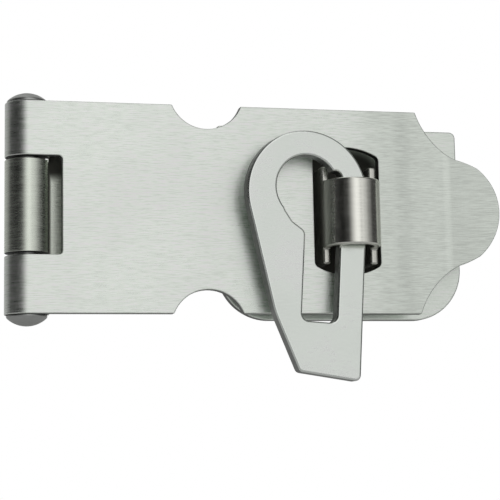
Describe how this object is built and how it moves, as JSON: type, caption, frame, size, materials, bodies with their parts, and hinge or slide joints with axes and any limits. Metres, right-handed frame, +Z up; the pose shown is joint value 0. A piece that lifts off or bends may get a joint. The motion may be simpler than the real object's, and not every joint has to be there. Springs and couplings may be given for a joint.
{
  "type": "hasp and staple",
  "caption": "Sheet-steel hasp with a rolled hinge and domed pin, a slotted leaf over an arched staple, and a captive keyhole-shaped locking hook.",
  "frame": {"origin": "centre of the hinge leaf's four screw holes, on the mounting surface", "axes": "+X from the hinge towards the staple, +Y into the door, +Z up along the hinge pin; the front faces -Y"},
  "size_m": [0.1034, 0.0176, 0.0592],
  "materials": {
    "brushed_sheet": "long straight brushing along the leaf, satin",
    "hook_steel": "fine satin blank with tumbled round edges",
    "staple_steel": "smooth bent strip with long soft reflections",
    "pin_steel": "darker domed rivet heads"
  },
  "bodies": {
    "fixed": {"hinge_leaf": "brushed_sheet", "staple_plate": "brushed_sheet", "staple_loop": "staple_steel"},
    "leaf": {"hasp_leaf": "brushed_sheet", "hinge_pin": "pin_steel"},
    "hook": {"locking_hook": "hook_steel"}
  },
  "joints": [
    {"name": "leaf_hinge", "type": "hinge", "parent": "fixed", "child": "leaf", "pos_m": [-0.0157, -0.0045, 0], "axis": [0, 0, -1], "range_deg": [0, 175]},
    {"name": "hook_swing", "type": "hinge", "parent": "fixed", "child": "hook", "pos_m": [0.0503, -0.0121, 0], "axis": [0, 0, 1], "range_deg": [-5, 145]}
  ]
}
